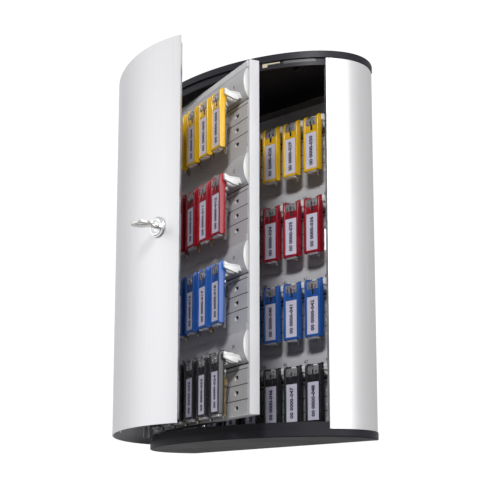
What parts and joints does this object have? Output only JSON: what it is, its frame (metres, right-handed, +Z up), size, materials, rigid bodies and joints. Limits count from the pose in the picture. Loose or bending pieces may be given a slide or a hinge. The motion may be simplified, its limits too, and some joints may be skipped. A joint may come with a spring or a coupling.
{
  "type": "key cabinet",
  "caption": "Wall key cabinet with a bowed hinged door, an inner swing panel, rails of hooks and key tags, and a cylinder lock.",
  "frame": {"origin": "centre of the wall-screw pattern, on the wall plane", "axes": "+X to the right seen from the front, +Y into the wall, +Z up"},
  "size_m": [0.302, 0.2512, 0.4],
  "materials": {
    "cap_plastic": "fine-grained dark anthracite moulding",
    "shell_aluminium": "satin anodised sheet",
    "trim_aluminium": "bright satin edge profile",
    "door_aluminium": "vertically brushed satin anodised sheet",
    "inner_profiles": "mill finish extrusion",
    "steel": "zinc-plated steel",
    "lock_chrome": "polished chrome plate",
    "key_nickel": "nickel-plated brass",
    "buffer_felt": "cream soft buffer",
    "hook_plastic": "white moulded plastic",
    "rail_grey": "satin light grey coating",
    "panel_frame": "satin light grey coating",
    "tag_yellow": "glossy yellow plastic",
    "tag_red": "glossy red plastic",
    "tag_blue": "glossy blue plastic",
    "tag_black": "glossy black plastic",
    "hung_keys": "nickel-plated keys on steel rings"
  },
  "bodies": {
    "cabinet": {"base_cap": "cap_plastic", "top_cap": "cap_plastic", "back_wall": "shell_aluminium", "wall_screw_collars": "inner_profiles", "left_shell": "shell_aluminium", "right_shell": "shell_aluminium", "shell_edge_profile": "trim_aluminium", "strike_plate": "steel", "corner_posts": "inner_profiles", "door_pivot_pins": "steel", "panel_pivot_pins": "steel", "panel_catch": "cap_plastic", "door_buffers": "buffer_felt", "back_hooks": "hook_plastic", "back_hook_cheeks": "hook_plastic", "back_rail_1": "rail_grey", "back_rail_2": "rail_grey", "back_rail_3": "rail_grey", "back_rail_4": "rail_grey"},
    "door": {"door_skin": "door_aluminium", "door_hinge_profile": "inner_profiles", "door_edge_profile": "trim_aluminium", "door_stiffeners": "inner_profiles", "lock_housing": "lock_chrome", "lock_rosette": "lock_chrome", "lock_nut": "steel"},
    "lock_plug": {"lock_plug": "lock_chrome", "lock_cam": "steel", "cam_screw": "steel"},
    "key": {"key": "key_nickel"},
    "swing_panel": {"panel_free_bar": "panel_frame", "panel_hinge_bar": "panel_frame", "panel_top_bar": "panel_frame", "panel_bottom_bar": "panel_frame", "panel_back_sheet": "panel_frame", "panel_side_fillers": "panel_frame", "panel_hooks": "hook_plastic", "panel_hook_cheeks": "hook_plastic", "panel_rail_1": "rail_grey", "panel_rail_2": "rail_grey", "panel_rail_3": "rail_grey", "panel_rail_4": "rail_grey"},
    "back_row_1": {"back_tags_1": "tag_black", "back_keys_1": "hung_keys"},
    "panel_row_1": {"panel_tags_1": "tag_black", "panel_keys_1": "hung_keys"},
    "back_row_2": {"back_tags_2": "tag_blue", "back_keys_2": "hung_keys"},
    "panel_row_2": {"panel_tags_2": "tag_blue", "panel_keys_2": "hung_keys"},
    "back_row_3": {"back_tags_3": "tag_red", "back_keys_3": "hung_keys"},
    "panel_row_3": {"panel_tags_3": "tag_red", "panel_keys_3": "hung_keys"},
    "back_row_4": {"back_tags_4": "tag_yellow", "back_keys_4": "hung_keys"},
    "panel_row_4": {"panel_tags_4": "tag_yellow", "panel_keys_4": "hung_keys"}
  },
  "joints": [
    {"name": "door_hinge", "type": "hinge", "parent": "cabinet", "child": "door", "pos_m": [-0.1435, -0.047, 0], "axis": [0, 0, -1], "range_deg": [-33, 77]},
    {"name": "panel_hinge", "type": "hinge", "parent": "cabinet", "child": "swing_panel", "pos_m": [-0.128, -0.0655, 0], "axis": [0, 0, -1], "range_deg": [-18, 42]},
    {"name": "lock_turn", "type": "hinge", "parent": "door", "child": "lock_plug", "pos_m": [0.04908, -0.22174, 0], "axis": [0.0077, 1, 0], "range_deg": [0, 90]},
    {"name": "key_slide", "type": "slide", "parent": "lock_plug", "child": "key", "axis": [-0.0077, -1, 0], "range_m": [0, 0.03]},
    {"name": "back_row_1_swing", "type": "hinge", "parent": "cabinet", "child": "back_row_1", "pos_m": [0, -0.02455, -0.1222], "axis": [-1, 0, 0], "range_deg": [-2.5, 15]},
    {"name": "panel_row_1_swing", "type": "hinge", "parent": "swing_panel", "child": "panel_row_1", "pos_m": [-0.01246, -0.12412, -0.121], "axis": [-0.9511, 0.309, 0], "range_deg": [-2.5, 4]},
    {"name": "back_row_2_swing", "type": "hinge", "parent": "cabinet", "child": "back_row_2", "pos_m": [0, -0.02455, -0.0319], "axis": [-1, 0, 0], "range_deg": [-2.5, 15]},
    {"name": "panel_row_2_swing", "type": "hinge", "parent": "swing_panel", "child": "panel_row_2", "pos_m": [-0.01246, -0.12412, -0.0307], "axis": [-0.9511, 0.309, 0], "range_deg": [-2.5, 4]},
    {"name": "back_row_3_swing", "type": "hinge", "parent": "cabinet", "child": "back_row_3", "pos_m": [0, -0.02455, 0.0584], "axis": [-1, 0, 0], "range_deg": [-2.5, 15]},
    {"name": "panel_row_3_swing", "type": "hinge", "parent": "swing_panel", "child": "panel_row_3", "pos_m": [-0.01246, -0.12412, 0.0596], "axis": [-0.9511, 0.309, 0], "range_deg": [-2.5, 4]},
    {"name": "back_row_4_swing", "type": "hinge", "parent": "cabinet", "child": "back_row_4", "pos_m": [0, -0.02455, 0.1487], "axis": [-1, 0, 0], "range_deg": [-2.5, 15]},
    {"name": "panel_row_4_swing", "type": "hinge", "parent": "swing_panel", "child": "panel_row_4", "pos_m": [-0.01246, -0.12412, 0.1499], "axis": [-0.9511, 0.309, 0], "range_deg": [-2.5, 4]}
  ],
  "couplings": [
    {"joint": "panel_hinge", "follows": "door_hinge", "ratio": 0.54545}
  ]
}
